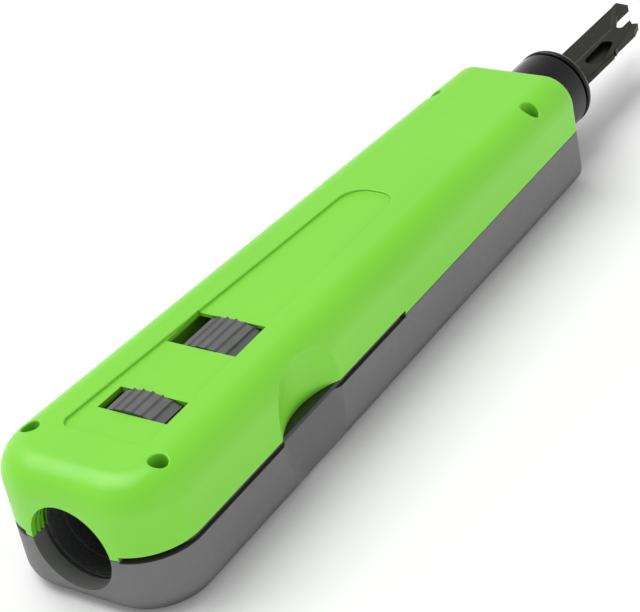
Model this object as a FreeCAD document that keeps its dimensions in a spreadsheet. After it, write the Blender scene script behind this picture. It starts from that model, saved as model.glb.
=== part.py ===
"""Impact punch down tool, as a parametric document.

The tool axis runs along X, with the tail at x = 0 and the blade towards +X. Up is +Z. Each sub-part is
drawn about that axis, and its Placement then moves the axis up by axis_height and back by origin_back, so
that the whole tool stands on z = 0 with the origin under its middle. Lengths are millimetres.
"""
import FreeCAD
import Part
import Sketcher
import math
import os
import re

doc = FreeCAD.newDocument("PunchDownTool")
dims = doc.addObject("Spreadsheet::Sheet", "Dims")

SIZES = (
    # the handle
    ("body_length", 124.0, "tail face to nose face"),
    ("tail_half", 16.0, "half width at the tail"),
    ("nose_half", 11.5, "half width at the nose"),
    ("axis_height", 10.1, "underside to the tool axis, where the two shells meet"),
    ("tail_rise", 12.0, "tool axis to the top, at the tail"),
    ("nose_rise", 9.9, "tool axis to the top, at the nose"),
    ("tail_corner", 9.5, "corner radius of the tail, seen from above"),
    ("nose_edge", 1.8, "rounding around the nose face"),
    ("top_round", 5.0, "rounding of the upper shell's long edges"),
    ("bottom_round", 3.5, "rounding of the lower shell's long edges"),
    ("panel_start", 11.0, "tail end of the shallow panel on top"),
    ("panel_end", 81.0, "nose end of the shallow panel on top"),
    ("panel_wide", 7.7, "half width of the panel at its tail end"),
    ("panel_narrow", 4.5, "half width of the panel at its nose end"),
    ("panel_depth", 0.5, "depth of the panel"),
    ("panel_corner", 1.8, "corner radius of the panel at its tail end"),
    ("panel_round", 3.8, "corner radius of the panel at its nose end"),
    ("panel_soften", 0.24, "rounding of the panel's rim and of the foot of its wall"),
    ("rim_soften", 0.2, "rounding of the rims of the holes and windows"),
    ("joint_bevel", 0.12, "bevel of both shells where they meet"),
    ("grip_place", 38.9, "middle of the thumb hollows along the handle"),
    ("grip_depth", 2.3, "depth of the thumb hollows"),
    ("grip_long", 14.7, "radius of a thumb hollow, seen from above"),
    ("grip_tall", 44.0, "radius of a thumb hollow, seen along the handle"),
    ("side_gap", 0.25, "gap around pieces that turn or slide in the shells"),
    ("seat_gap", 0.05, "gap around pieces that sit still in the shells"),
    # screws
    ("screw_tail_place", 9.2, "tail screws, along the handle"),
    ("screw_tail_side", 11.5, "tail screws, off the axis"),
    ("screw_nose_place", 113.0, "nose screws, along the handle"),
    ("screw_nose_side", 9.3, "nose screws, off the axis"),
    ("screw_sink", 1.4, "radius of the sinks that hold the screw heads"),
    ("screw_seat", 3.5, "height of the screw heads' seats above the axis"),
    ("screw_head", 1.3, "radius of a screw head"),
    ("screw_head_tall", 1.4, "height of a screw head"),
    ("cross_long", 0.8, "reach of an arm of the screw head's cross"),
    ("cross_half", 0.2, "half width of that arm"),
    ("cross_deep", 0.8, "depth of the cross"),
    ("screw_clear", 0.12, "clearance of a screw in the upper shell"),
    ("screw_bite", 0.02, "clearance of a screw in the lower shell"),
    ("screw_beyond", 0.5, "depth of a screw hole beyond the screw's tip"),
    ("screw_shank", 0.9, "radius of a screw shank"),
    ("screw_reach", 7.0, "depth of the screws below the axis"),
    # fold-out tools
    ("plate_thick", 0.8, "thickness of the hook and the spudger"),
    ("plate_drop", 0.12, "their underside, below the axis"),
    ("plate_bevel", 0.1, "bevel of their edges"),
    ("slot_rise", 0.72, "height above the axis of the slot they lie in"),
    ("slot_drop", 0.4, "depth of that slot below the axis"),
    ("slot_end", 65.3, "nose end of the slot"),
    ("slot_inner", 9.6, "slot's inner wall, off the axis"),
    ("slot_mouth", 8.4, "slot's inner wall at the tail face, off the axis"),
    ("shank_inner", 9.8, "inner edge of a stowed tool, off the axis"),
    ("shank_inset", 0.35, "stowed tool's outer edge, in from the handle's side"),
    ("shank_end", 64.0, "tip of a stowed tool"),
    ("finger_start", 17.0, "hook's finger, from the tip back to where the taper starts"),
    ("finger_taper", 13.0, "hook's finger, from the tip back to where the taper ends"),
    ("finger_in", 1.6, "how far the finger's inner side is cut back"),
    ("barb_start", 4.4, "length of the hooked tip"),
    ("barb_slant", 1.2, "slant of the hooked tip's end"),
    ("point_long", 14.0, "length of the spudger's point"),
    ("point_in", 2.4, "how far the point's inner side is cut back at its end"),
    ("eye_radius", 3.8, "outside of a tool's pivot eye"),
    ("pivot_post", 2.2, "radius of the post that a tool turns on"),
    ("pivot_gap", 0.06, "running clearance of the eye on its post"),
    # spare blade store
    ("tail_bore", 7.0, "radius of the hole in the tail face"),
    ("lip_depth", 2.6, "length of that hole, up to a groove in front of the storage tube"),
    ("lip_groove", 0.6, "depth of that groove"),
    ("lip_ring", 0.45, "width of the fine rings inside the hole's upper half"),
    ("store_start", 3.3, "mouth of the storage tube"),
    ("store_step", 6.0, "step inside the storage tube's mouth"),
    ("store_mouth", 6.4, "inside radius of the mouth, as far as the step"),
    ("store_end", 51.0, "closed end of the storage tube"),
    ("store_wall", 1.2, "thickness of that end"),
    ("store_bore", 6.0, "inside radius of the storage tube"),
    ("store_outer", 6.9, "outside radius of the storage tube"),
    ("flange_start", 27.0, "flange that holds the storage tube in the shells"),
    ("flange_wide", 2.0, "length of that flange"),
    ("flange_outer", 7.9, "radius of that flange"),
    # the two thumb collars
    ("collar_outer", 8.5, "outside radius of the thumb collars"),
    ("collar_gap", 0.07, "running clearance of the collars on the storage tube"),
    ("lock_start", 15.9, "store lock collar, tail end"),
    ("lock_end", 24.1, "store lock collar, nose end"),
    ("lock_window", 16.9, "its window, tail end"),
    ("lock_window_long", 5.4, "length of its window"),
    ("lock_window_left", 5.45, "its window's left edge, off the axis"),
    ("lock_window_right", 7.3, "its window's right edge, off the axis"),
    ("lock_crest", 12.0, "radius over its ribs"),
    ("lock_pad_left", 21.5, "left end of its ribbed pad, in degrees from the top"),
    ("lock_pad_right", 36.0, "right end of its ribbed pad, in degrees from the top"),
    ("lug_half", 1.2, "half width of the lug inside the store lock collar"),
    ("lug_root", 0.5, "how far the lug starts inside the collar's wall"),
    ("lug_gap", 0.05, "how far the lug stops short of the storage tube's bore"),
    ("lug_inset", 0.7, "distance from the lug to either end of the window"),
    ("lug_slot", 3.2, "half width of the storage tube's slot for the lug"),
    ("force_start", 32.9, "force selector collar, tail end"),
    ("force_end", 46.0, "force selector collar, nose end"),
    ("force_window", 34.3, "its window, tail end"),
    ("force_window_long", 8.1, "length of its window"),
    ("force_window_side", 6.4, "its window's edges, off the axis"),
    ("force_crest", 11.4, "radius over its ribs"),
    ("force_pad_left", 21.0, "left end of its ribbed pad, in degrees from the top"),
    ("force_pad_right", 32.0, "right end of its ribbed pad, in degrees from the top"),
    ("rib_gap", 0.2, "gap between a ribbed pad and the ends of its window"),
    ("pad_root", 0.4, "how far a ribbed pad starts inside its collar's wall"),
    ("rib_pitch", 8.2, "angle from one rib to the next, in degrees"),
    ("rib_angle", 2.8, "angle that the foot of a rib spans, in degrees"),
    ("rib_height", 0.33, "height of a rib"),
    ("window_roof", 10.2, "height above the axis of the hollow under the shell around the collars"),
    ("window_floor", 3.0, "height above the axis where that hollow and the windows start"),
    ("window_hollow", 8.4, "half width of that hollow"),
    ("cam_rise", 1.6, "height of the selector's cam teeth"),
    ("cam_slope", 2.4, "length of a cam tooth's slope, around the collar"),
    ("cam_back", 1.4, "length of a cam tooth behind its slope"),
    ("cam_root", 0.4, "how far a cam tooth starts inside the collar's end"),
    ("cam_inset", 0.4, "how far the cam teeth keep inside the collar's wall"),
    ("cam_gap", 0.15, "clearance between the cam teeth and the spring seat"),
    # spring seat
    ("seat_start", 46.3, "spring seat, tail end"),
    ("seat_ring_end", 50.0, "nose end of its wide ring"),
    ("seat_face", 55.0, "face that the main spring stands on"),
    ("spigot_long", 1.8, "length of the spigots inside the main spring"),
    ("spigot_radius", 4.0, "radius of those spigots"),
    ("seat_key", 9.3, "top of the key that stops the spring seat from turning"),
    ("key_foot", 7.5, "foot of that key"),
    ("key_half", 1.5, "half width of the key"),
    ("key_gap", 0.1, "clearance of the key in its slot"),
    # impact mechanism
    ("sleeve_start", 58.0, "steel guide sleeve, tail end"),
    ("sleeve_end", 95.0, "steel guide sleeve, nose end"),
    ("sleeve_bore", 7.0, "inside radius of the guide sleeve"),
    ("sleeve_outer", 7.8, "outside radius of the guide sleeve"),
    ("hammer_start", 80.0, "hammer, tail face"),
    ("hammer_end", 98.0, "hammer, striking face"),
    ("hammer_radius", 6.93, "radius of the hammer"),
    ("hammer_bevel", 0.5, "bevel around its striking face"),
    ("stem_radius", 1.8, "radius of the plunger's stem"),
    ("stem_hole", 1.95, "radius of the holes that the stem runs into"),
    ("stem_start", 88.3, "tail end of the stem, resting on the latch"),
    ("latch_start", 85.1, "latch, tail face"),
    ("latch_end", 88.1, "latch, nose face"),
    ("latch_half", 2.6, "half height of the latch"),
    ("ramp_back", 11.0, "reach of the latch's ramp behind the latch"),
    ("ramp_ahead", 2.0, "reach of the ramp ahead of the latch"),
    ("ramp_gap", 0.1, "clearance between the latch and its ramp"),
    ("latch_round", 0.4, "rounding of the latch where it rides on the ramp"),
    ("latch_gap", 0.08, "running clearance of the latch in the hammer"),
    ("latch_out", 9.0, "end of the latch that follows the ramp"),
    ("latch_in", 4.1, "other end of the latch"),
    ("latch_shift", 1.6, "sideways travel of the latch"),
    ("latch_pocket", 5.9, "end of the hammer's slot behind the latch"),
    ("stroke", 8.0, "travel of the blade into the handle"),
    ("spring_mean", 5.0, "mean radius of the main spring"),
    ("spring_wire", 0.65, "wire radius of the main spring"),
    ("spring_turns", 8.0, "turns of the main spring"),
    ("return_mean", 3.4, "mean radius of the return spring"),
    ("return_wire", 0.35, "wire radius of the return spring"),
    ("return_turns", 5.0, "turns of the return spring"),
    ("nudge_mean", 0.72, "mean radius of the latch spring"),
    ("nudge_wire", 0.16, "wire radius of the latch spring"),
    ("nudge_turns", 7.0, "turns of the latch spring"),
    ("nudge_bore", 1.0, "radius of the latch's pocket for its spring"),
    ("nudge_depth", 2.6, "depth of that pocket"),
    # plunger, nose and blade
    ("plunger_start", 105.0, "plunger's shoulder, which the hammer strikes"),
    ("plunger_end", 136.4, "face of the plunger's rim"),
    ("barrel_radius", 7.15, "radius of the plunger's barrel"),
    ("rim_radius", 7.2, "radius of its rim"),
    ("rim_wide", 1.6, "width of its rim"),
    ("rim_groove", 0.5, "width and depth of the groove behind the rim"),
    ("rim_round", 0.35, "rounding beside the groove"),
    ("rim_nose", 1.1, "rounding of the rim's front"),
    ("clip_start", 110.0, "retaining ring, tail face"),
    ("clip_end", 110.9, "retaining ring, nose face"),
    ("clip_outer", 7.95, "outside radius of the retaining ring"),
    ("clip_inner", 6.5, "inside radius of the retaining ring"),
    ("bush_start", 111.0, "nose bush, tail face"),
    ("bush_end", 117.5, "nose bush, nose face"),
    ("bush_outer", 7.9, "outside radius of the nose bush"),
    ("bush_gap", 0.06, "running clearance of the barrel in the nose bush"),
    ("chuck_start", 115.5, "bottom of the blade socket"),
    ("chuck_bore", 2.56, "radius of the blade socket"),
    ("pin_place", 122.0, "blade detent pin, along the handle"),
    ("pin_radius", 0.9, "radius of the blade detent pin"),
    ("pin_round", 0.5, "rounding of the detent pin's end"),
    ("pin_gap", 0.03, "clearance of the detent pin in the barrel"),
    ("pin_tip", 2.2, "inner end of the detent pin, off the axis"),
    ("band_outer", 6.9, "outside radius of the detent's ring spring"),
    ("band_inner", 6.3, "inside radius of the detent's ring spring"),
    ("band_half", 0.7, "half width of the detent's ring spring"),
    ("band_split", 1.5, "half width of the gap in the detent band"),
    ("blade_start", 136.6, "root of the blade's flat head"),
    ("blade_end", 166.6, "tip of the blade"),
    ("blade_left", 4.5, "left edge of the blade"),
    ("blade_right", 4.9, "right edge of the blade's root"),
    ("blade_half", 0.65, "half thickness of the blade"),
    ("blade_bevel", 0.18, "bevel of the blade's long edges"),
    ("blade_step", 148.7, "where the right edge steps in beside the cutter"),
    ("blade_hip", 149.3, "root end of the slanting edge beside the cutter"),
    ("blade_hip_side", 4.5, "its distance to the right of the axis"),
    ("blade_waist", 159.7, "nose end of that slanting edge"),
    ("blade_waist_side", 2.65, "its distance to the right of the axis"),
    ("blade_shank", 2.5, "radius of the blade's shank"),
    ("neck_half", 1.2, "half length of the neck that the detent pin holds"),
    ("neck_gap", 0.1, "clearance of that neck under the pin"),
    ("blade_shank_start", 117.0, "tail end of the blade's shank"),
    ("fork_bottom", 157.7, "bottom of the fork"),
    ("fork_left", 1.65, "left wall of the fork"),
    ("fork_right", 1.55, "right wall of the fork, on the other side of the axis"),
    ("fork_heel", 0.5, "where the fork's bottom meets its slanting left side, right of the axis"),
    ("fork_knee", 161.6, "where that slanting side meets the left wall"),
    ("fork_bend", 3.0, "radius of that curve"),
    ("fork_corner", 0.6, "radius of the corners at the notch's bottom"),
    ("prong_end", 160.9, "tip of the shorter prong"),
    ("tip_slant", 0.3, "slant of the blade's two tips"),
    ("face_ridge", 0.6, "edge of the broad sunken face where its end starts to slant, left of the axis"),
    ("face_root", 0.7, "the same edge at the blade's root, left of the axis"),
    ("face_turn", 156.9, "where the sunken face's end begins to slant"),
    ("face_end", 165.4, "nose end of the sunken face, at the left edge"),
    ("face_depth", 0.3, "depth of the sunken face"),
    ("face_slope", 0.8, "width of the slope down to the sunken face"),
    ("pan_start", 145.7, "root end of the long hollow beside the ridge, but for its round end"),
    ("pan_start_side", 2.7, "its distance to the right of the axis"),
    ("pan_start_half", 1.8, "half width of the hollow there"),
    ("pan_end", 151.4, "nose end of the hollow, but for its round end"),
    ("pan_end_side", 1.85, "its distance to the right of the axis"),
    ("pan_end_half", 1.15, "half width of the hollow there"),
    ("pan_floor", 0.4, "floor of the hollow at its nose end, below the axis"),
    ("pan_tilt", 3.5, "slope of the hollow's floor, which rises to the root, in degrees"),
    ("cutter_start", 149.7, "root of the cutter"),
    ("cutter_root", 4.66, "right side of the cutter at its root"),
    ("cutter_hip", 151.0, "where the cutter's right side turns parallel to the blade"),
    ("cutter_out", 4.35, "right side of the cutter"),
    ("cutter_slant", 157.4, "where the cutter's end begins to slant"),
    ("cutter_end", 160.2, "tip of the cutter"),
    ("cutter_tip", 3.58, "right side of the cutter's tip"),
    ("cutter_gap", 0.03, "gap between the cutter and the blade"),
    # frame
    ("origin_back", 83.3, "tail face to the origin, half the overall length"),
)
ALIASES = {alias for alias, size, note in SIZES}
WORD = re.compile(r"[a-z][a-z_]*")


def fill_sheet():
    """Put every driving dimension in the sheet, with its alias and what it is."""
    for row, (alias, size, note) in enumerate(SIZES, start=1):
        dims.set(f"A{row}", alias)
        dims.set(f"B{row}", str(size))
        dims.set(f"C{row}", note)
        dims.setAlias(f"B{row}", alias)
    doc.recompute()


def bound(formula):
    """The formula as FreeCAD reads it, with each alias looked up in the sheet."""
    def look_up(match):
        word = match.group()
        return f"Dims.{word}" if word in ALIASES else word
    return WORD.sub(look_up, str(formula))


def size(formula):
    """The formula's value now, in millimetres."""
    return float(dims.evalExpression(bound(formula)))


def bind(thing, **formulas):
    """Bind properties of a feature to formulas. A double underscore stands for a dot."""
    for prop, formula in formulas.items():
        thing.setExpression(prop.replace("__", "."), bound(formula))


def place(thing):
    """Move a finished sub-part from the tool axis to the tool's own frame."""
    bind(thing, Placement__Base__x="-origin_back", Placement__Base__z="axis_height")


def new_body(label, separate=False):
    body = doc.addObject("PartDesign::Body", label)
    body.Label = label
    body.AllowCompound = separate
    place(body)
    return body


def new_sketch(body, plane, lift=0, tilt=None):
    """A sketch on one of the body's origin planes: XY, XZ or YZ, lifted along the plane's normal."""
    sketch = body.newObject("Sketcher::SketchObject", "Sketch")
    support = [f for f in body.Origin.OriginFeatures if f.Role == plane + "_Plane"][0]
    sketch.AttachmentSupport = [(support, "")]
    sketch.MapMode = "FlatFace"
    bind(sketch, AttachmentOffset__Base__z=lift)
    if tilt:
        sketch.AttachmentOffset = FreeCAD.Placement(
            FreeCAD.Vector(0, 0, size(lift)), FreeCAD.Rotation(FreeCAD.Vector(0, 1, 0), 1))
        bind(sketch, AttachmentOffset__Rotation__Angle=tilt)
    return sketch


def fix_point(sketch, geometry, point, across, up):
    """Dimension one point of the sketch from the sketch's origin."""
    for kind, formula in (("DistanceX", across), ("DistanceY", up)):
        index = sketch.addConstraint(Sketcher.Constraint(kind, -1, 1, geometry, point, size(formula)))
        sketch.setExpression(f"Constraints[{index}]", bound(formula))


def draw_outline(sketch, corners):
    """A closed outline of straight lines through the corners."""
    points = [FreeCAD.Vector(size(across), size(up), 0) for across, up in corners]
    first = None
    for number, (across, up) in enumerate(corners):
        line = Part.LineSegment(points[number], points[(number + 1) % len(points)])
        index = sketch.addGeometry(line, False)
        first = index if first is None else first
        fix_point(sketch, index, 1, across, up)
    for number in range(len(corners)):
        after = first + (number + 1) % len(corners)
        sketch.addConstraint(Sketcher.Constraint("Coincident", first + number, 2, after, 1))


def draw_circle(sketch, across, up, radius):
    centre = FreeCAD.Vector(size(across), size(up), 0)
    circle = Part.Circle(centre, FreeCAD.Vector(0, 0, 1), size(radius))
    index = sketch.addGeometry(circle, False)
    fix_point(sketch, index, 3, across, up)
    radial = sketch.addConstraint(Sketcher.Constraint("Radius", index, size(radius)))
    sketch.setExpression(f"Constraints[{radial}]", bound(radius))


def draw_half_disc(sketch, across, up, radius, side):
    """Half of a disc, bulging towards -side, closed by a line through its centre."""
    centre = FreeCAD.Vector(size(across), size(up), 0)
    reach = FreeCAD.Vector(size(radius), 0, 0)
    circle = Part.Circle(centre, FreeCAD.Vector(0, 0, 1), size(radius))
    turns = (math.pi, 2 * math.pi) if side > 0 else (0, math.pi)
    arc = sketch.addGeometry(Part.ArcOfCircle(circle, *turns), False)
    ends = (centre - reach, centre + reach) if side > 0 else (centre + reach, centre - reach)
    line = sketch.addGeometry(Part.LineSegment(*ends), False)
    fix_point(sketch, arc, 3, across, up)
    radial = sketch.addConstraint(Sketcher.Constraint("Radius", arc, size(radius)))
    sketch.setExpression(f"Constraints[{radial}]", bound(radius))
    sketch.addConstraint(Sketcher.Constraint("Coincident", arc, 1, line, 1))
    sketch.addConstraint(Sketcher.Constraint("Coincident", arc, 2, line, 2))
    sketch.addConstraint(Sketcher.Constraint("Horizontal", line))
    sketch.addConstraint(Sketcher.Constraint("PointOnObject", arc, 3, line))


def box(x0, x1, y0, y1):
    """The corners of a rectangle."""
    return ((x0, y0), (x1, y0), (x1, y1), (x0, y1))


def extrude(body, kind, sketch, length, both_ways=False, reverse=False, through=False):
    """Pad or Pocket a sketch, and check that the feature changed the solid the way it should."""
    before = body.Shape.Volume if body.Shape.Solids else 0.0
    feature = body.newObject("PartDesign::" + kind, kind)
    feature.Profile = sketch
    feature.Reversed = reverse
    if both_ways:
        feature.SideType = "Symmetric"
    if through:
        feature.Type = "ThroughAll"
    else:
        bind(feature, Length=length)
    doc.recompute()
    check_change(feature, kind == "Pad", before)
    return feature


def turn(body, kind, sketch, axis="H_Axis"):
    """Revolve a sketch about one of its axes, as a Revolution or as a Groove."""
    before = body.Shape.Volume if body.Shape.Solids else 0.0
    feature = body.newObject("PartDesign::" + kind, kind)
    feature.Profile = sketch
    feature.ReferenceAxis = (sketch, [axis])
    feature.Angle = 360
    doc.recompute()
    check_change(feature, kind == "Revolution", before)
    return feature


def check_change(feature, adds, before):
    change = feature.Shape.Volume - before
    if (change <= 0) if adds else (change >= 0):
        raise RuntimeError(f"{feature.getParentGeoFeatureGroup().Label}: {feature.Name} changed nothing")


def pad(body, plane, corners, length, lift=0, both_ways=False, reverse=False):
    sketch = new_sketch(body, plane, lift)
    draw_outline(sketch, corners)
    return extrude(body, "Pad", sketch, length, both_ways, reverse)


def pocket(body, plane, corners, length, lift=0, both_ways=False, reverse=False, through=False):
    sketch = new_sketch(body, plane, lift)
    draw_outline(sketch, corners)
    return extrude(body, "Pocket", sketch, length, both_ways, reverse, through)


def round_pads(body, plane, circles, length, lift=0, both_ways=False, reverse=False):
    sketch = new_sketch(body, plane, lift)
    for across, up, radius in circles:
        draw_circle(sketch, across, up, radius)
    return extrude(body, "Pad", sketch, length, both_ways, reverse)


def round_pockets(body, plane, circles, length, lift=0, both_ways=False, reverse=False, through=False):
    sketch = new_sketch(body, plane, lift)
    for across, up, radius in circles:
        draw_circle(sketch, across, up, radius)
    return extrude(body, "Pocket", sketch, length, both_ways, reverse, through)


def steps(stretches):
    """The corners of a half section about the tool axis, from (start, end, radius) stretches."""
    corners = [(stretches[0][0], 0)]
    for start, end, radius in stretches:
        corners += [(start, radius), (end, radius)]
    corners.append((stretches[-1][1], 0))
    return corners


def turned(label, stretches):
    """A new body turned about the tool axis."""
    body = new_body(label)
    sketch = new_sketch(body, "XZ")
    draw_outline(sketch, steps(stretches))
    turn(body, "Revolution", sketch)
    return body


def bore(body, stretches):
    """Turn the stretches out of a body, about the tool axis."""
    sketch = new_sketch(body, "XZ")
    draw_outline(sketch, steps(stretches))
    return turn(body, "Groove", sketch)


def dress(body, kind, edges, **sizes):
    """Fillet or Chamfer the edges of the body's tip for which edges(edge) is true."""
    tip = body.Tip
    names = [f"Edge{number}" for number, edge in enumerate(tip.Shape.Edges, start=1) if edges(edge)]
    feature = body.newObject("PartDesign::" + kind, kind)
    feature.Base = (tip, names)
    bind(feature, **sizes)
    doc.recompute()
    if abs(feature.Shape.Volume - tip.Shape.Volume) < 1e-4:
        raise RuntimeError(f"{body.Label}: {feature.Name} changed nothing")
    return feature


def middle(edge):
    return edge.valueAt((edge.FirstParameter + edge.LastParameter) / 2)


def upright(edge):
    return edge.Curve.TypeId == "Part::GeomLine" and abs(edge.tangentAt(edge.FirstParameter).z) > 0.9


def near(place_along, place_across):
    """A test for the upright edges that stand at one place."""
    spot = FreeCAD.Vector(size(place_along), size(place_across), 0)

    def standing_there(edge):
        at = middle(edge)
        return upright(edge) and math.hypot(at.x - spot.x, at.y - spot.y) < 0.05
    return standing_there


SIDE_AT = "(tail_half - (tail_half - nose_half) * {x} / body_length)"


def side_at(place_along):
    """Formula for the handle's half width at a place along it."""
    return SIDE_AT.format(x=place_along)


def shell_blank(label, top):
    """The outside of one shell, as a solid block on its side of the joint face."""
    body = new_body(label)
    corners = (("0", "-tail_half"), ("body_length", "-nose_half"),
               ("body_length", "nose_half"), ("0", "tail_half"))
    pad(body, "XY", corners, "tail_rise" if top else "axis_height", reverse=not top)
    dress(body, "Fillet", lambda edge: upright(edge) and abs(middle(edge).x) < 0.01, Radius="tail_corner")
    if top:
        above = (("-1", "tail_rise + 1"), ("-1", "tail_rise + (tail_rise - nose_rise) / body_length"),
                 ("body_length + 1", "nose_rise - (tail_rise - nose_rise) / body_length"),
                 ("body_length + 1", "tail_rise + 1"))
        pocket(body, "XZ", above, "4 * tail_half", both_ways=True)
    nose = size("body_length") - 0.01
    limit = size("nose_rise - 0.01") if top else size("axis_height - 0.01")

    def long_edge(edge):
        at = middle(edge)
        return abs(at.z) > limit and at.x < nose
    dress(body, "Fillet", long_edge, Radius="top_round" if top else "bottom_round")

    def nose_rim(edge):
        ends = [vertex.Point for vertex in edge.Vertexes]
        return min(end.x for end in ends) > nose and abs(middle(edge).z) > 0.01
    dress(body, "Fillet", nose_rim, Radius="nose_edge")

    def joint_rim(edge):
        return all(abs(vertex.Z) < 0.01 for vertex in edge.Vertexes) and abs(middle(edge).z) < 0.01
    dress(body, "Chamfer", joint_rim, Size="joint_bevel")
    return body


def cut_thumb_hollows(body):
    """A shallow dish in each flank, with a flatter curve up and down than along the handle."""
    for side in (-1, 1):
        sketch = new_sketch(body, "XY")
        centre = f"{side} * ({side_at('grip_place')} - grip_depth + grip_long)"
        draw_half_disc(sketch, "grip_place", centre, "grip_long", side)
        axis = Part.LineSegment(FreeCAD.Vector(0, side * 40, 0), FreeCAD.Vector(80, side * 40, 0))
        index = sketch.addGeometry(axis, True)
        for point, along in ((1, "0"), (2, "2 * grip_place")):
            off = f"{side} * ({side_at('grip_place')} - grip_depth + grip_tall)"
            fix_point(sketch, index, point, along, off)
        turn(body, "Groove", sketch, "Axis0")


def cut_inside(body, top):
    """Everything that both shells have inside: the stepped bore, the tool slots and the latch ramp."""
    lip = (("-1", "lip_depth", "tail_bore"), ("lip_depth", "store_start", "tail_bore + lip_groove"))
    bore(body, lip + (
        ("store_start", "lock_start - side_gap", "store_outer + seat_gap"),
        ("lock_start - side_gap", "lock_end + side_gap", "collar_outer + side_gap"),
        ("lock_end + side_gap", "flange_start", "store_outer + seat_gap"),
        ("flange_start", "flange_start + flange_wide", "flange_outer + seat_gap"),
        ("flange_start + flange_wide", "force_start - side_gap", "store_outer + seat_gap"),
        ("force_start - side_gap", "sleeve_start - 1", "collar_outer + side_gap"),
        ("sleeve_start - 1", "sleeve_start", "sleeve_bore + 0.2"),
        ("sleeve_start", "sleeve_end", "sleeve_outer + seat_gap"),
        ("sleeve_end", "bush_start", "clip_outer + side_gap"),
        ("bush_start", "bush_end", "bush_outer + seat_gap"),
        ("bush_end", "body_length + 1", "barrel_radius + side_gap"),
    ))
    for side in (-1, 1):
        eye = f"{side} * (screw_tail_side - eye_radius - side_gap)"
        slot = (("-1", f"{side} * slot_mouth"), ("0", f"{side} * slot_mouth"),
                ("screw_tail_place - eye_radius / 2", eye), ("screw_tail_place + eye_radius / 2", eye),
                ("screw_tail_place + eye_radius + 1", f"{side} * slot_inner"),
                ("slot_end", f"{side} * slot_inner"), ("slot_end", f"{side} * (tail_half + 1)"),
                ("-1", f"{side} * (tail_half + 1)"))
        pocket(body, "XY", slot, "slot_rise" if top else "slot_drop", reverse=top)
    back = "latch_start - ramp_back"
    ahead = "latch_end + ramp_ahead"
    rest = "latch_out + ramp_gap"
    ramp = ((back, "sleeve_bore"), (ahead, "sleeve_bore"),
            (ahead, f"{rest} + ({ahead} - latch_start) * latch_shift / stroke"),
            (back, f"{rest} - ramp_back * latch_shift / stroke"))
    pocket(body, "XY", ramp, "latch_half + side_gap", reverse=top)


def screw_circles(radius):
    """One circle for each of the four screws."""
    spots = (("screw_tail_place", "screw_tail_side"), ("screw_nose_place", "screw_nose_side"))
    return [(along, f"{side} * {off}", radius) for along, off in spots for side in (-1, 1)]


def make_upper_shell():
    body = shell_blank("upper_housing", top=True)
    slope = "atan((tail_rise - nose_rise) / body_length)"
    sketch = new_sketch(body, "XY", "tail_rise", slope)
    draw_outline(sketch, (("panel_start", "-panel_wide"), ("panel_end", "-panel_narrow"),
                          ("panel_end", "panel_narrow"), ("panel_start", "panel_wide")))
    extrude(body, "Pocket", sketch, "panel_depth")
    half = size("panel_wide + 0.1")
    ends = (size("panel_start - 1"), size("panel_end + 1"))

    def panel_corner(edge):
        at = middle(edge)
        return upright(edge) and ends[0] < at.x < ends[1] and abs(at.y) < half and at.z > 5
    half_way = sum(ends) / 2
    dress(body, "Fillet", lambda edge: panel_corner(edge) and middle(edge).x < half_way,
          Radius="panel_corner")
    dress(body, "Fillet", lambda edge: panel_corner(edge) and middle(edge).x > half_way, Radius="panel_round")

    def panel_edge(edge):
        box = edge.BoundBox
        inside = box.XMin > ends[0] and box.XMax < ends[1] and max(abs(box.YMin), abs(box.YMax)) < half
        return inside and box.ZMin > 5 and not upright(edge)
    dress(body, "Fillet", panel_edge, Radius="panel_soften")
    cut_thumb_hollows(body)
    cut_inside(body, top=True)
    for start in ("lip_ring * 2", "lip_ring * 4"):
        bore(body, ((start, f"{start} + lip_ring", "tail_bore + lip_ring / 2"),))
    pocket(body, "XY", box("lock_window", "lock_window + lock_window_long", "-lock_window_right",
                           "lock_window_left"), "tail_rise", lift="window_floor", reverse=True)
    pocket(body, "XY", box("force_window", "force_window + force_window_long", "-force_window_side",
                           "force_window_side"), "tail_rise", lift="window_floor", reverse=True)
    pocket(body, "XY", box("seat_start", "sleeve_start - 1", "-key_half - key_gap", "key_half + key_gap"),
           "seat_key + key_gap", reverse=True)
    for first, last in (("lock_start", "lock_end"), ("force_start", "force_end")):
        hollow = box(f"{first} - side_gap", f"{last} + side_gap", "-window_hollow", "window_hollow")
        pocket(body, "XY", hollow, "window_roof - window_floor", lift="window_floor", reverse=True)
    round_pockets(body, "XY", screw_circles("screw_sink"), "tail_rise", lift="screw_seat", reverse=True)
    sinks = [(size(along), size(off)) for along, off, radius in screw_circles("screw_sink")]
    reach = size("screw_sink + 0.05")

    def sink_rim(edge):
        at = middle(edge)
        return at.z > 6 and min(math.hypot(at.x - along, at.y - off) for along, off in sinks) < reach
    dress(body, "Fillet", sink_rim, Radius="rim_soften")
    round_pockets(body, "XY", screw_circles("screw_shank + screw_clear"), "tail_rise", reverse=True)
    return body


def make_lower_shell():
    body = shell_blank("lower_housing", top=False)
    cut_thumb_hollows(body)
    cut_inside(body, top=False)
    posts = [("screw_tail_place", f"{side} * screw_tail_side", "pivot_post") for side in (-1, 1)]
    round_pads(body, "XY", posts, "slot_drop + slot_rise", lift="-slot_drop")
    round_pockets(body, "XY", screw_circles("screw_shank + screw_bite"),
                  "screw_reach + screw_beyond + slot_rise", lift="slot_rise")
    return body


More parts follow.
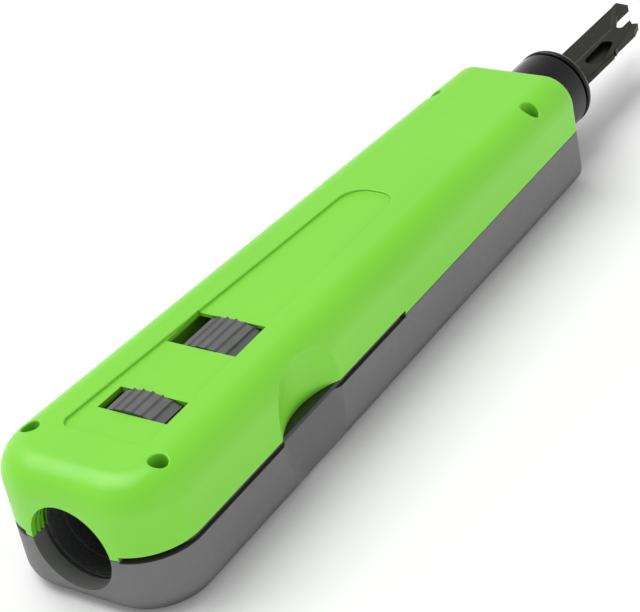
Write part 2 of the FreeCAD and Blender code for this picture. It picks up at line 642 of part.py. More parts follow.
def make_screws():
    """Four pan head screws, driven from above, as one group."""
    body = new_body("housing_screws", separate=True)
    round_pads(body, "XY", screw_circles("screw_shank"), "screw_reach + screw_seat + screw_bite",
               lift="-screw_reach")
    round_pads(body, "XY", screw_circles("screw_head"), "screw_head_tall", lift="screw_seat")
    for long_way, short_way in (("cross_long", "cross_half"), ("cross_half", "cross_long")):
        sketch = new_sketch(body, "XY", "screw_seat + screw_head_tall")
        for along, off, radius in screw_circles("screw_head"):
            draw_outline(sketch, box(f"{along} - {long_way}", f"{along} + {long_way}",
                                     f"{off} - {short_way}", f"{off} + {short_way}"))
        extrude(body, "Pocket", sketch, "cross_deep")
    return body


def fold_out_tool(label, side, tip):
    """A flat steel tool that turns on a post beside the tail. tip is the outline of its free end."""
    body = new_body(label)
    outer = f"{side} * ({side_at('{x}')} - shank_inset)"
    corners = [("screw_tail_place", f"{side} * shank_inner")]
    corners += [(along, f"{side} * {off}") for along, off in tip]
    corners += [("shank_end", outer.format(x="shank_end")),
                ("screw_tail_place + eye_radius", outer.format(x="(screw_tail_place + eye_radius)")),
                ("screw_tail_place", f"{side} * (screw_tail_side + eye_radius)")]
    pad(body, "XY", corners, "plate_thick", lift="-plate_drop")
    eye = ("screw_tail_place", f"{side} * screw_tail_side", "eye_radius")
    round_pads(body, "XY", [eye], "plate_thick", lift="-plate_drop")

    def level(edge):
        return abs(edge.tangentAt(edge.FirstParameter).z) < 0.1
    dress(body, "Chamfer", level, Size="plate_bevel")
    hole = ("screw_tail_place", f"{side} * screw_tail_side", "pivot_post + pivot_gap")
    round_pockets(body, "XY", [hole], "4 * plate_thick", both_ways=True)
    return body


def make_hook():
    """Its end is cut back to a thin finger with a hooked tip, which lifts wires."""
    tip = (("shank_end - finger_start", "shank_inner"),
           ("shank_end - finger_taper", "(shank_inner + finger_in)"),
           ("shank_end - barb_start", "(shank_inner + finger_in)"),
           ("shank_end - barb_start", "shank_inner"), ("shank_end - barb_start / 2", "shank_inner"),
           ("shank_end", "(shank_inner + barb_slant)"))
    return fold_out_tool("wire_hook", -1, tip)


def make_spudger():
    """Its end narrows to a blunt point, which pushes wires down and pries caps off."""
    tip = (("shank_end - point_long", "shank_inner"), ("shank_end", "(shank_inner + point_in)"))
    return fold_out_tool("spudger", 1, tip)


def make_storage_tube():
    body = turned("storage_tube", (("store_start", "flange_start", "store_outer"),
                                   ("flange_start", "flange_start + flange_wide", "flange_outer"),
                                   ("flange_start + flange_wide", "store_end", "store_outer")))
    bore(body, (("store_start - 1", "store_end - store_wall", "store_bore"),))
    bore(body, (("store_start - 1", "store_step", "store_mouth"),))
    pocket(body, "XY", box("lock_window", "lock_window + lock_window_long", "-lug_slot", "lug_slot"),
           "store_outer + 1", lift="-lug_slot")
    return body


def ribbed_pad(body, start, long, crest, left, right):
    """The part of a collar that shows in its window: an arc about the tool axis, with peaked ribs along it.

    left and right are the angles of its two ends from the top, in degrees.
    """
    def corner(radius, angle):
        return f"{radius} * sin({angle})", f"{radius} * cos({angle})"

    inner = "(collar_outer - pad_root)"
    foot = f"({crest} - rib_height)"
    corners = [corner(inner, f"-{right}"), corner(foot, f"-{right}")]
    pitch = size("rib_pitch")
    for number in range(math.ceil(-size(right) / pitch), math.floor(size(left) / pitch)):
        peak = f"({number} + 0.5) * rib_pitch"
        corners += [corner(foot, f"{peak} - rib_angle / 2"), corner(crest, peak),
                    corner(foot, f"{peak} + rib_angle / 2")]
    corners += [corner(foot, left), corner(inner, left)]
    sketch = new_sketch(body, "YZ", start)
    draw_outline(sketch, corners)
    return extrude(body, "Pad", sketch, long)


def collar_ring(label, start, end):
    body = turned(label, ((start, end, "collar_outer"),))
    bore(body, ((f"{start} - 1", f"{end} + 1", "store_outer + collar_gap"),))
    return body


def make_lock_collar():
    body = collar_ring("store_lock_collar", "lock_start", "lock_end")
    ribbed_pad(body, "lock_window + rib_gap", "lock_window_long - 2 * rib_gap", "lock_crest",
               "lock_pad_left", "lock_pad_right")
    pad(body, "YZ", box("-lug_half", "lug_half", "-(store_outer + lug_root)", "-(store_bore + lug_gap)"),
        "lock_window_long - 2 * lug_inset", lift="lock_window + lug_inset")
    return body


def cam_tooth(gap):
    """Outline of a cam tooth, or of its notch with a gap, laid out flat: along the axis and around it."""
    base = "(force_end - cam_root)"
    foot = f"-cam_slope - {gap} * cam_slope / cam_rise"
    top = f"force_end + cam_rise + {gap}"
    return ((base, f"cam_back + {gap}"), (base, f"{foot} - cam_root * cam_slope / cam_rise"),
            ("force_end", foot), (top, "0"), (top, f"cam_back + {gap}"))


def cam_teeth(body, kind, gap, inner, outer):
    """Two opposite teeth or notches, at the left and the right of the collar."""
    for side in (-1, 1):
        sketch = new_sketch(body, "XZ", f"{-side} * {inner}")
        draw_outline(sketch, [(along, f"{side} * ({around})") for along, around in cam_tooth(gap)])
        extrude(body, kind, sketch, f"{outer} - {inner}", reverse=(side > 0) == (kind == "Pad"))


def make_force_collar():
    body = collar_ring("force_selector_collar", "force_start", "force_end")
    ribbed_pad(body, "force_window + rib_gap", "force_window_long - 2 * rib_gap", "force_crest",
               "force_pad_left", "force_pad_right")
    cam_teeth(body, "Pad", "0", "(store_outer + cam_inset)", "(collar_outer - cam_inset)")
    return body


def make_spring_seat():
    body = turned("spring_seat", (("seat_start", "seat_ring_end", "collar_outer"),
                                  ("seat_ring_end", "seat_face", "store_outer + 0.9"),
                                  ("seat_face", "seat_face + spigot_long", "spigot_radius")))
    bore(body, (("seat_start - 1", "store_end + 1", "store_outer + collar_gap"),))
    pad(body, "XY", box("seat_start + cam_root", "seat_ring_end", "-key_half", "key_half"),
        "seat_key - key_foot", lift="key_foot")
    cam_teeth(body, "Pocket", "cam_gap", "(store_outer - 1.5)", "(collar_outer + 1)")
    return body


def make_sleeve():
    body = turned("guide_sleeve", (("sleeve_start", "sleeve_end", "sleeve_outer"),))
    bore(body, (("sleeve_start - 1", "sleeve_end + 1", "sleeve_bore"),))
    half = "latch_half + side_gap"
    pocket(body, "XZ", box("latch_start - ramp_back", "latch_end + ramp_ahead", f"-({half})", half),
           "sleeve_outer + 1")
    return body


def make_hammer():
    body = turned("hammer", (("hammer_start - spigot_long", "hammer_start", "spigot_radius"),
                             ("hammer_start", "hammer_end", "hammer_radius")))
    bore(body, (("hammer_start - 3", "hammer_end + 1", "stem_hole"),))
    slot = box("latch_start - latch_gap", "latch_end + latch_gap",
               "-latch_half - latch_gap", "latch_half + latch_gap")
    pocket(body, "XZ", slot, "latch_pocket + hammer_radius + 1", lift="latch_pocket")
    face = size("hammer_end - 0.01")
    dress(body, "Chamfer", lambda edge: middle(edge).x > face and edge.Length > 30, Size="hammer_bevel")
    return body


def make_latch():
    body = new_body("trigger_latch")
    plate = box("latch_start", "latch_end", "-latch_in", "latch_out")
    pad(body, "XY", plate, "2 * latch_half", both_ways=True)
    round_pockets(body, "YZ", [("latch_shift", "0", "stem_hole")], "latch_end - latch_start + 2",
                  lift="latch_start - 1", reverse=True)
    round_pockets(body, "XZ", [("(latch_start + latch_end) / 2", "0", "nudge_bore")], "nudge_depth",
                  lift="latch_in")
    tip = size("latch_out - 0.01")
    dress(body, "Fillet", lambda edge: upright(edge) and middle(edge).y > tip, Radius="latch_round")
    return body


def make_spring(label, mean, wire, start, long, turns):
    """A compression spring around the tool axis."""
    body = new_body(label)
    sketch = new_sketch(body, "XZ")
    draw_circle(sketch, f"{start} + {wire}", mean, wire)
    wind(body, sketch, "H_Axis", wire, long, turns)
    return body


def make_latch_spring():
    """The small spring across the hammer that pushes the latch against its ramp."""
    body = new_body("latch_spring")
    sketch = new_sketch(body, "XY")
    along = "(latch_start + latch_end) / 2"
    line = Part.LineSegment(FreeCAD.Vector(80, -6, 0), FreeCAD.Vector(80, -1, 0))
    index = sketch.addGeometry(line, True)
    fix_point(sketch, index, 1, along, "-latch_pocket")
    fix_point(sketch, index, 2, along, "-1")
    draw_circle(sketch, f"{along} + nudge_mean", "nudge_wire - latch_pocket", "nudge_wire")
    wind(body, sketch, "Axis0", "nudge_wire", "(latch_pocket - latch_in + nudge_depth)", "nudge_turns")
    return body


def wind(body, sketch, axis, wire, long, turns):
    """Sweep the wire's section along a helix, so that the coils fill the length."""
    helix = body.newObject("PartDesign::AdditiveHelix", "Coils")
    helix.Profile = sketch
    helix.ReferenceAxis = (sketch, [axis])
    helix.Mode = "pitch-height-angle"
    bind(helix, Pitch=f"({long} - 2 * {wire}) / {turns}", Height=f"{long} - 2 * {wire}")
    doc.recompute()


def make_plunger():
    groove = "(plunger_end - rim_wide - rim_groove)"
    body = turned("plunger", (
        ("stem_start", "plunger_start", "stem_radius"),
        ("plunger_start", "clip_start - seat_gap", "barrel_radius"),
        ("clip_start - seat_gap", "clip_end + seat_gap", "clip_inner - seat_gap"),
        ("clip_end + seat_gap", "pin_place - band_half - seat_gap", "barrel_radius"),
        ("pin_place - band_half - seat_gap", "pin_place + band_half + seat_gap", "band_inner - seat_gap"),
        ("pin_place + band_half + seat_gap", groove, "barrel_radius"),
        (groove, "plunger_end - rim_wide", "barrel_radius - rim_groove"),
        ("plunger_end - rim_wide", "plunger_end", "rim_radius")))
    bore(body, (("chuck_start", "plunger_end + 1", "chuck_bore"),))
    round_pockets(body, "XY", [("pin_place", "0", "pin_radius + pin_gap")], "barrel_radius + 1")
    widest = size("barrel_radius - 0.01")
    limits = (size(f"{groove} - 0.01"), size("plunger_end - 0.01"))

    def beside_groove(edge):
        at = middle(edge)
        return limits[0] < at.x < limits[1] and math.hypot(at.y, at.z) > widest
    dress(body, "Fillet", beside_groove, Radius="rim_round")

    def rim_front(edge):
        at = middle(edge)
        return at.x > limits[1] and math.hypot(at.y, at.z) > widest
    dress(body, "Fillet", rim_front, Radius="rim_nose")
    return body


def make_detent_pin():
    body = new_body("blade_detent_pin")
    round_pads(body, "XY", [("pin_place", "0", "pin_radius")], "band_inner - pin_tip - 0.1",
               lift="-(band_inner - 0.1)")
    tip = size("-pin_tip - 0.01")
    dress(body, "Fillet", lambda edge: middle(edge).z > tip, Radius="pin_round")
    return body


def ring(label, start, end, inner, outer, cut=None):
    """A plain ring about the tool axis, with an optional gap cut through it on top."""
    body = turned(label, ((start, end, outer),))
    bore(body, ((f"{start} - 1", f"{end} + 1", inner),))
    if cut:
        pocket(body, "XY", box(f"{start} - 1", f"{end} + 1", f"-{cut}", cut), f"{outer} + 1", reverse=True)
    return body


def hollow_out_blade(body):
    """A long hollow in the blade's top, narrower at the root, where its sloping floor comes up."""
    flat = "cos(pan_tilt)"
    floor = "pan_end * tan(pan_tilt) - pan_floor"
    ends = [(f"{end} / {flat}", f"-{end}_side", f"{end}_half") for end in ("pan_start", "pan_end")]
    (root, root_side, root_half), (nose, nose_side, nose_half) = ends
    between = ((root, f"{root_side} - {root_half}"), (nose, f"{nose_side} - {nose_half}"),
               (nose, f"{nose_side} + {nose_half}"), (root, f"{root_side} + {root_half}"))
    sketch = new_sketch(body, "XY", floor, "pan_tilt")
    draw_outline(sketch, between)
    extrude(body, "Pocket", sketch, "blade_right", reverse=True)
    sketch = new_sketch(body, "XY", floor, "pan_tilt")
    for end in ends:
        draw_circle(sketch, *end)
    extrude(body, "Pocket", sketch, "blade_right", reverse=True)


def make_blade():
    """A flat forked head on a round shank. Both faces are sunk on the left, and the top has a hollow."""
    body = new_body("punch_blade")
    outline = (("blade_start", "-blade_right"), ("blade_step", "-blade_right"),
               ("blade_hip", "-blade_hip_side"), ("blade_waist", "-blade_waist_side"),
               ("prong_end", "-fork_right"), ("fork_bottom", "-fork_right"),
               ("fork_bottom", "-fork_heel"), ("fork_knee", "fork_left"),
               ("blade_end - tip_slant", "fork_left"), ("blade_end", "blade_left - tip_slant"),
               ("blade_end - tip_slant / 2", "blade_left"), ("blade_start", "blade_left"))
    pad(body, "XY", outline, "2 * blade_half", both_ways=True)
    dress(body, "Fillet", near("fork_bottom", "-fork_right"), Radius="fork_corner")
    dress(body, "Fillet", near("fork_bottom", "-fork_heel"), Radius="fork_corner")
    dress(body, "Fillet", near("fork_knee", "fork_left"), Radius="fork_bend")
    long_edges = (size("blade_left"), size("-blade_right"))

    def long_side(edge):
        at = middle(edge)
        return not upright(edge) and min(abs(at.y - side) for side in long_edges) < 0.01
    dress(body, "Chamfer", long_side, Size="blade_bevel")
    sunk = (("blade_start - 1", "blade_left + 1"), ("blade_start - 1", "face_root"),
            ("face_turn", "face_ridge"), ("face_end", "blade_left"), ("face_end", "blade_left + 1"))
    face = size("blade_half")
    for lift, reverse in (("blade_half", False), ("-blade_half", True)):
        pocket(body, "XY", sunk, "face_depth", lift=lift, reverse=reverse)
    ridge = ((size("blade_start + face_turn") / 2, size("face_ridge + face_root") / 2),
             (size("face_turn + face_end") / 2, size("blade_left + face_ridge") / 2))

    def on_ridge(edge):
        at = middle(edge)
        return abs(at.z) > face - 0.01 and any(math.dist((at.x, at.y), spot) < 0.3 for spot in ridge)
    slope = dress(body, "Chamfer", on_ridge, Size="face_depth - 0.05")
    slope.ChamferType = "Two distances"
    slope.FlipDirection = True
    bind(slope, Size2="face_slope")
    doc.recompute()
    hollow_out_blade(body)
    sketch = new_sketch(body, "XZ")
    neck = ("pin_place - neck_half", "pin_place + neck_half")
    draw_outline(sketch, steps((("blade_shank_start", neck[0], "blade_shank"),
                                (*neck, "pin_tip - neck_gap"),
                                (neck[1], "blade_start + 1", "blade_shank"))))
    turn(body, "Revolution", sketch)
    return body


def make_cutter():
    """The sharp jaw beside the fork, which trims the wire."""
    body = new_body("blade_cutter")
    def beside(place_along):
        lean = "(blade_hip_side - blade_waist_side) / (blade_waist - blade_hip)"
        return f"-(blade_hip_side - {lean} * ({place_along} - blade_hip) + cutter_gap)"
    outline = (("cutter_start", beside("cutter_start")), ("cutter_start", "-cutter_root"),
               ("cutter_hip", "-cutter_out"), ("cutter_slant", "-cutter_out"), ("cutter_end", "-cutter_tip"),
               ("cutter_end - tip_slant", beside("(cutter_end - tip_slant)")))
    pad(body, "XY", outline, "1.8 * blade_half", both_ways=True)
    return body


def check_document():
    """Every object must have built without a fault, and every sub-part must be a valid solid."""
    for thing in doc.Objects:
        if "Invalid" in thing.State or "Error" in thing.State:
            raise RuntimeError(f"{thing.Label} did not build: {thing.State}")
    for body in sub_parts:
        if body.Shape.isNull() or not body.Shape.isValid() or not body.Shape.Solids:
            raise RuntimeError(f"{body.Label} is not a valid solid")


fill_sheet()
sub_parts = [
    make_upper_shell(),
    make_lower_shell(),
    make_screws(),
    make_hook(),
    make_spudger(),
    make_storage_tube(),
    make_lock_collar(),
    make_force_collar(),
    make_spring_seat(),
    make_spring("main_spring", "spring_mean", "spring_wire", "seat_face", "(hammer_start - seat_face)",
                "spring_turns"),
    make_sleeve(),
    make_hammer(),
    make_latch(),
    make_latch_spring(),
    make_spring("return_spring", "return_mean", "return_wire", "hammer_end",
                "(plunger_start - hammer_end)", "return_turns"),
    make_plunger(),
    ring("retaining_ring", "clip_start", "clip_end", "clip_inner", "clip_outer", "3"),
    ring("nose_bush", "bush_start", "bush_end", "barrel_radius + bush_gap", "bush_outer"),
    make_detent_pin(),
    ring("detent_band", "pin_place - band_half", "pin_place + band_half", "band_inner", "band_outer",
         cut="band_split"),
    make_blade(),
    make_cutter(),
]
doc.recompute()
check_document()
os.makedirs("parts", exist_ok=True)
for body in sub_parts:
    body.Shape.exportStep(os.path.join("parts", body.Label + ".step"))
    box_now = body.Shape.BoundBox
    print(f"{body.Label:24s} solids {len(body.Shape.Solids)}  volume {body.Shape.Volume:9.1f}  "
          f"x {box_now.XMin:7.2f} {box_now.XMax:7.2f}  y {box_now.YMin:6.2f} {box_now.YMax:6.2f}  "
          f"z {box_now.ZMin:6.2f} {box_now.ZMax:6.2f}")
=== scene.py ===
"""The looks of an impact punch down tool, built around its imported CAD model.

Lengths are metres, in the model's own frame: the tool lies along X with its blade towards +X and its
underside on z = 0. Every CAD piece keeps its shape and gets a material of its own here.
"""
import math

import bpy
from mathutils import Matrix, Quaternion, Vector

CAMERA_AT = Vector((-0.2557, -0.2017, 0.2002))
CAMERA_HEADING = math.radians(40.71)      # from +X towards +Y
CAMERA_DOWN = math.radians(31.47)
CAMERA_ROLL = math.radians(-12.36)
CAMERA_LENS = 132.6
CAMERA_NEAREST = 0.01
SENSOR_WIDTH = 36.0

FLOOR_HALF = 3.0
FLOOR_GREY = 0.97
FLOOR_ROUGHNESS = 0.9
FLOOR_GLOW = 0.05
WALL_GREY, WALL_TOP = 0.85, 0.10          # the second number is the sine of a height above the horizon
CEILING_GREY, CEILING_START = 0.38, 0.75

# the parts of a material that all pieces share
SHADER_SAMPLES = 8
EDGE_SHARP, EDGE_GONE = 0.80, 0.99        # cosines of the angle between rounded and true normals
PATCH_GRAIN = 0.003
PATCH_LOW, PATCH_START, PATCH_END = 0.25, 0.40, 0.62
HOLLOW = (0.0022, 0.15, 0.75)             # its width, and how open it is where the painted shade is full and gone
SHELL_EDGE = 0.0003
METAL_EDGE = 0.00025
SMALL_EDGE = 0.0002

GREEN = (0.230, 0.735, 0.038)
RUBBED_GREEN = (0.265, 0.75, 0.06)
# SHADED_GREEN is the shade painted into the green's gaps and hollows; each *_HOLLOW sets the width and
# openness of that painted shade
SHADED_GREEN = (0.012, 0.09, 0.008)
GREEN_HOLLOW = (0.0022, 0.25, 0.80)
GREY = (0.163, 0.163, 0.164)
GREY_HOLLOW = (0.006, 0.20, 0.80)
# the blade's settings paint shade over nearly all of its recessed pan
BLADE_HOLLOW = (0.007, 0.72, 0.97)


# ------------------------------------------------------------------ materials

class Look:
    """A new material on the Principled shader, and short ways to build its nodes."""

    def __init__(self, name, colour, roughness, metallic=0.0, **sockets):
        self.material = bpy.data.materials.new(name)
        self.material.use_nodes = True
        self.tree = self.material.node_tree
        self.shader = next(node for node in self.tree.nodes if node.type == "BSDF_PRINCIPLED")
        self.shader.inputs["Base Color"].default_value = (*colour, 1)
        self.shader.inputs["Roughness"].default_value = roughness
        self.shader.inputs["Metallic"].default_value = metallic
        for socket, value in sockets.items():
            self.shader.inputs[socket.replace("_", " ")].default_value = value
        self.place = self.tree.nodes.new("ShaderNodeTexCoord").outputs["Object"]

    def node(self, kind, **values):
        """A new node. Each value goes to the node's attribute, or else its socket, of that name."""
        made = self.tree.nodes.new(kind)
        for name, value in values.items():
            if hasattr(made, name):
                setattr(made, name, value)
            else:
                made.inputs[name.replace("_", " ")].default_value = value
        return made

    def link(self, output, node, name):
        self.tree.links.new(output, node.inputs[name])

    def noise(self, grain, stretch=(1, 1, 1), detail=3.0):
        """Noise whose grains are about this many metres across, divided by stretch on each axis."""
        mapping = self.node("ShaderNodeMapping", Scale=[part / grain for part in stretch])
        self.link(self.place, mapping, "Vector")
        noise = self.node("ShaderNodeTexNoise", Scale=1.0, Detail=detail, Roughness=0.5)
        self.link(mapping.outputs["Vector"], noise, "Vector")
        return noise.outputs["Fac"]

    def ramp(self, factor, low, high, start=0.3, end=0.7):
        """A blend between two colours, or between two numbers, as the factor runs from start to end."""
        plain = isinstance(low, (int, float))
        ramp = self.node("ShaderNodeValToRGB")
        for element, place, value in zip(ramp.color_ramp.elements, (start, end), (low, high)):
            element.position = place
            element.color = (value, value, value, 1) if plain else (*value, 1)
        self.link(factor, ramp, "Fac")
        return ramp.outputs["Color"]

    def edges(self, reach):
        """1 along edges and corners, fading to 0 at this distance from them."""
        soft = self.node("ShaderNodeBevel", samples=SHADER_SAMPLES, Radius=reach)
        hard = self.node("ShaderNodeNewGeometry")
        dot = self.node("ShaderNodeVectorMath", operation="DOT_PRODUCT")
        self.tree.links.new(soft.outputs["Normal"], dot.inputs[0])
        self.tree.links.new(hard.outputs["Normal"], dot.inputs[1])
        return self.ramp(dot.outputs["Value"], 1.0, 0.0, EDGE_SHARP, EDGE_GONE)

    def hollow_shade(self, width, full, gone):
        """1 inside hollows and gaps of about this width, 0 on surfaces that are open enough: where
        shade is painted into the colour.
        """
        shade = self.node("ShaderNodeAmbientOcclusion", samples=SHADER_SAMPLES, only_local=False,
                          Distance=width)
        return self.ramp(shade.outputs["AO"], 1.0, 0.0, full, gone)

    def blend(self, factor, low, high):
        """A blend of two colour outputs, or of an output and a colour."""
        mix = self.node("ShaderNodeMix", data_type="RGBA", clamp_factor=True)
        factor_socket, low_socket, high_socket = (mix.inputs[index] for index in (0, 6, 7))
        self.tree.links.new(factor, factor_socket)
        for socket, value in ((low_socket, low), (high_socket, high)):
            if isinstance(value, tuple):
                socket.default_value = (*value, 1)
            else:
                self.tree.links.new(value, socket)
        return mix.outputs[2]

    def product(self, first, second):
        times = self.node("ShaderNodeMath", operation="MULTIPLY", use_clamp=True)
        self.tree.links.new(first, times.inputs[0])
        self.tree.links.new(second, times.inputs[1])
        return times.outputs["Value"]

    def colour(self, factor, low, high, rubbed, reach, painted_shade, hollow=HOLLOW):
        """Blend two colours by the factor, with the rubbed colour in patches along the edges and the
        painted shade colour deep in hollows and gaps, where little light reaches."""
        patches = self.ramp(self.noise(PATCH_GRAIN), PATCH_LOW, 1.0, PATCH_START, PATCH_END)
        colour = self.ramp(factor, low, high)
        # painted shade: the colour darkens in hollows and gaps
        colour = self.blend(self.hollow_shade(*hollow), colour, painted_shade)
        colour = self.blend(self.product(self.edges(reach), patches), colour, rubbed)
        self.link(colour, self.shader, "Base Color")

    def roughness(self, factor, low, high):
        self.link(self.ramp(factor, low, high), self.shader, "Roughness")

    def bump(self, *layers):
        """Bump from (height output, depth in metres) layers."""
        normal = None
        for height, depth in layers:
            bump = self.node("ShaderNodeBump", Strength=1.0, Distance=depth)
            self.link(height, bump, "Height")
            if normal:
                self.link(normal, bump, "Normal")
            normal = bump.outputs["Normal"]
        self.link(normal, self.shader, "Normal")


def tone(colour, factor):
    return tuple(part * factor for part in colour)


def shell_green():
    """Bright moulded plastic with a soft gloss: faint flow marks, a very fine skin and paler edges, and
    dark green shade painted into its gaps and hollows.
    """
    look = Look("green_plastic", GREEN, 0.36, Subsurface_Weight=0.06, Subsurface_Scale=0.0015,
                IOR=1.5, Coat_Weight=0.08, Coat_Roughness=0.25)
    flow = look.noise(0.018, (0.5, 1, 1), detail=2.0)
    look.colour(flow, tone(GREEN, 0.97), tone(GREEN, 1.03), rubbed=RUBBED_GREEN, reach=SHELL_EDGE,
                painted_shade=SHADED_GREEN, hollow=GREEN_HOLLOW)
    look.roughness(look.noise(0.004, detail=4.0), 0.33, 0.42)
    look.bump((look.noise(0.0011, detail=2.0), 0.000004), (look.noise(0.00025, detail=1.0), 0.0000025))
    return look.material


def shell_grey():
    """Moulded plastic with a matt spark-eroded skin, rubbed along its edges, with shade painted darker
    into its hollows.
    """
    look = Look("grey_plastic", GREY, 0.5, IOR=1.48)
    flow = look.noise(0.01, (0.5, 1, 1))
    look.colour(flow, tone(GREY, 0.94), tone(GREY, 1.06), rubbed=tone(GREY, 1.3), reach=SHELL_EDGE,
                painted_shade=tone(GREY, 0.25), hollow=GREY_HOLLOW)
    look.roughness(look.noise(0.0012, detail=4.0), 0.46, 0.58)
    look.bump((look.noise(0.0003, detail=2.0), 0.000008))
    return look.material


def moulded(name, grey, low, high):
    """A small dark moulding, rubbed along its edges, with shade painted darker into its hollows. Its
    roughness runs from low to high.
    """
    look = Look(name, grey, (low + high) / 2, IOR=1.5)
    look.colour(look.noise(0.004), tone(grey, 0.92), tone(grey, 1.08), rubbed=tone(grey, 1.3),
                reach=SMALL_EDGE, painted_shade=tone(grey, 0.3))
    look.roughness(look.noise(0.0015, detail=4.0), low, high)
    look.bump((look.noise(0.0004, detail=2.0), 0.000005))
    return look.material


def turned_metal(name, colour, low, high, metallic=1.0, rubbed=1.3, specular=0.5):
    """Metal turned about the tool's axis, with fine rings, brighter where its edges are rubbed, and
    with shade painted darker into its hollows.
    """
    look = Look(name, colour, (low + high) / 2, metallic, Specular_IOR_Level=specular)
    rings = look.noise(0.0003, (1, 0.02, 0.02))
    look.colour(look.noise(0.003, detail=4.0), tone(colour, 0.9), tone(colour, 1.12),
                rubbed=tone(colour, rubbed), reach=METAL_EDGE, painted_shade=tone(colour, 0.3))
    look.roughness(rings, low, high)
    look.bump((rings, 0.000003))
    return look.material


def stamped_metal(name, colour, low, high, metallic=1.0, rubbed=1.4, specular=0.5, hollow=HOLLOW):
    """Flat metal with grinding marks along the tool, brighter where its edges are rubbed, and with
    shade painted darker into its hollows.
    """
    look = Look(name, colour, (low + high) / 2, metallic, Specular_IOR_Level=specular)
    marks = look.noise(0.0004, (0.06, 1, 1), detail=4.0)
    look.colour(look.noise(0.002, detail=5.0), tone(colour, 0.85), tone(colour, 1.15),
                rubbed=tone(colour, rubbed), reach=SMALL_EDGE, painted_shade=tone(colour, 0.2), hollow=hollow)
    look.roughness(marks, low, high)
    look.bump((marks, 0.000004), (look.noise(0.0006), 0.000004))
    return look.material


def dress(materials):
    """Give every CAD node its material."""
    for name, material in materials.items():
        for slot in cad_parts[name].material_slots:
            slot.material = material


# ------------------------------------------------------------------ stage

def make_camera():
    level = math.cos(CAMERA_DOWN)
    ahead = Vector((level * math.cos(CAMERA_HEADING), level * math.sin(CAMERA_HEADING),
                    -math.sin(CAMERA_DOWN)))
    data = bpy.data.cameras.new("camera")
    data.lens = CAMERA_LENS
    data.sensor_width = SENSOR_WIDTH
    data.clip_start = CAMERA_NEAREST
    camera = bpy.data.objects.new("camera", data)
    bpy.context.collection.objects.link(camera)
    camera.location = CAMERA_AT
    camera.rotation_mode = "QUATERNION"
    camera.rotation_quaternion = ahead.to_track_quat("-Z", "Y") @ Quaternion((0, 0, 1), CAMERA_ROLL)
    bpy.context.scene.camera = camera


def make_floor():
    mesh = bpy.data.meshes.new("floor")
    reach = FLOOR_HALF
    corners = [(-reach, -reach, 0), (reach, -reach, 0), (reach, reach, 0), (-reach, reach, 0)]
    mesh.from_pydata(corners, [], [(0, 1, 2, 3)])
    floor = bpy.data.objects.new("floor", mesh)
    bpy.context.collection.objects.link(floor)
    look = Look("floor", (FLOOR_GREY, FLOOR_GREY, FLOOR_GREY), FLOOR_ROUGHNESS,
                Emission_Color=(1, 1, 1, 1), Emission_Strength=FLOOR_GLOW)
    mesh.materials.append(look.material)


def make_light(name, where, aim, across, watts):
    data = bpy.data.lights.new(name, "AREA")
    data.size = across
    data.energy = watts
    light = bpy.data.objects.new(name, data)
    bpy.context.collection.objects.link(light)
    light.location = where
    light.rotation_mode = "QUATERNION"
    light.rotation_quaternion = (Vector(aim) - Vector(where)).to_track_quat("-Z", "Y")


def make_room():
    """Pale walls that fade into a dim ceiling."""
    world = bpy.data.worlds.new("world")
    bpy.context.scene.world = world
    world.use_nodes = True
    tree = world.node_tree
    sky = next(node for node in tree.nodes if node.type == "BACKGROUND")
    direction = tree.nodes.new("ShaderNodeTexCoord")
    split = tree.nodes.new("ShaderNodeSeparateXYZ")
    ramp = tree.nodes.new("ShaderNodeValToRGB")
    greys = ((WALL_TOP, WALL_GREY), (CEILING_START, CEILING_GREY))
    for element, (height, grey) in zip(ramp.color_ramp.elements, greys):
        element.position = height
        element.color = (grey, grey, grey, 1)
    tree.links.new(direction.outputs["Generated"], split.inputs["Vector"])
    tree.links.new(split.outputs["Z"], ramp.inputs["Fac"])
    tree.links.new(ramp.outputs["Color"], sky.inputs["Color"])


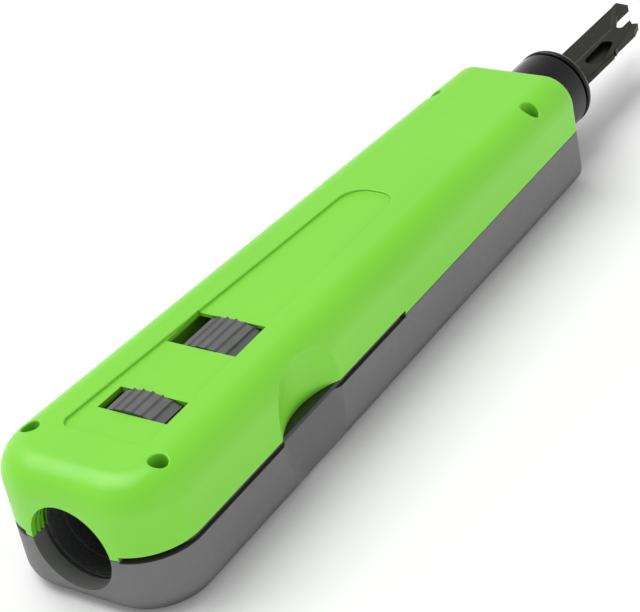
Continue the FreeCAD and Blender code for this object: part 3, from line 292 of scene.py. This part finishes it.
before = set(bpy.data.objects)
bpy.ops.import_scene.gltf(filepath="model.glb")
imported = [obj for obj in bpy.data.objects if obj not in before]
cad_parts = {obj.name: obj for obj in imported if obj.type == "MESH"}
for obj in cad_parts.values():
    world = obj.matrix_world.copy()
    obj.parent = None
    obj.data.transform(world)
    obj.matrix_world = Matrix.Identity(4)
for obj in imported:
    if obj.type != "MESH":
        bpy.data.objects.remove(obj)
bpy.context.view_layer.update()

tool_steel = stamped_metal("tool_steel", (0.055, 0.055, 0.057), 0.34, 0.48, metallic=0.6, rubbed=2.0)
spring_steel = turned_metal("spring_steel", (0.42, 0.42, 0.43), 0.25, 0.4)
latch_steel = stamped_metal("latch_steel", (0.38, 0.38, 0.40), 0.25, 0.4)
collar_grey = moulded("collar_grey", (0.135, 0.135, 0.137), 0.45, 0.58)
dress({
    "upper_housing": shell_green(),
    "lower_housing": shell_grey(),
    "housing_screws": turned_metal("zinc_plate", (0.55, 0.55, 0.57), 0.25, 0.4),
    "wire_hook": tool_steel,
    "spudger": tool_steel,
    "storage_tube": moulded("tube_plastic", (0.060, 0.060, 0.062), 0.22, 0.34),
    "store_lock_collar": collar_grey,
    "force_selector_collar": collar_grey,
    "spring_seat": moulded("seat_plastic", (0.03, 0.03, 0.03), 0.35, 0.5),
    "main_spring": spring_steel,
    "guide_sleeve": turned_metal("sleeve_steel", (0.50, 0.50, 0.51), 0.2, 0.35),
    "hammer": turned_metal("hammer_steel", (0.45, 0.45, 0.46), 0.2, 0.35),
    "trigger_latch": latch_steel,
    "latch_spring": spring_steel,
    "return_spring": spring_steel,
    "plunger": turned_metal("black_steel", (0.005, 0.005, 0.005), 0.12, 0.20, metallic=0.0,
                            rubbed=3.0, specular=0.35),
    "retaining_ring": spring_steel,
    "nose_bush": moulded("bush_plastic", (0.03, 0.03, 0.03), 0.35, 0.5),
    "blade_detent_pin": latch_steel,
    "detent_band": spring_steel,
    # the blade's recessed pan is darkened with painted shade through BLADE_HOLLOW
    "punch_blade": stamped_metal("blade_steel", (0.024, 0.024, 0.018), 0.34, 0.50, metallic=0.0,
                                 rubbed=2.4, specular=0.1, hollow=BLADE_HOLLOW),
    "blade_cutter": stamped_metal("cutter_steel", (0.024, 0.024, 0.020), 0.34, 0.48, metallic=0.0,
                                  rubbed=2.4, specular=0.12),
})

make_floor()
make_camera()
# a broad soft light overhead on the left, and a weaker one low on the right
make_light("overhead", where=(-0.08, 0.35, 0.82), aim=(0, 0, 0), across=0.70, watts=5.6)
make_light("right_side", where=(-0.05, -0.90, 0.30), aim=(0, 0, 0.02), across=0.60, watts=0.7)
make_room()
bpy.context.scene.view_settings.view_transform = "Standard"
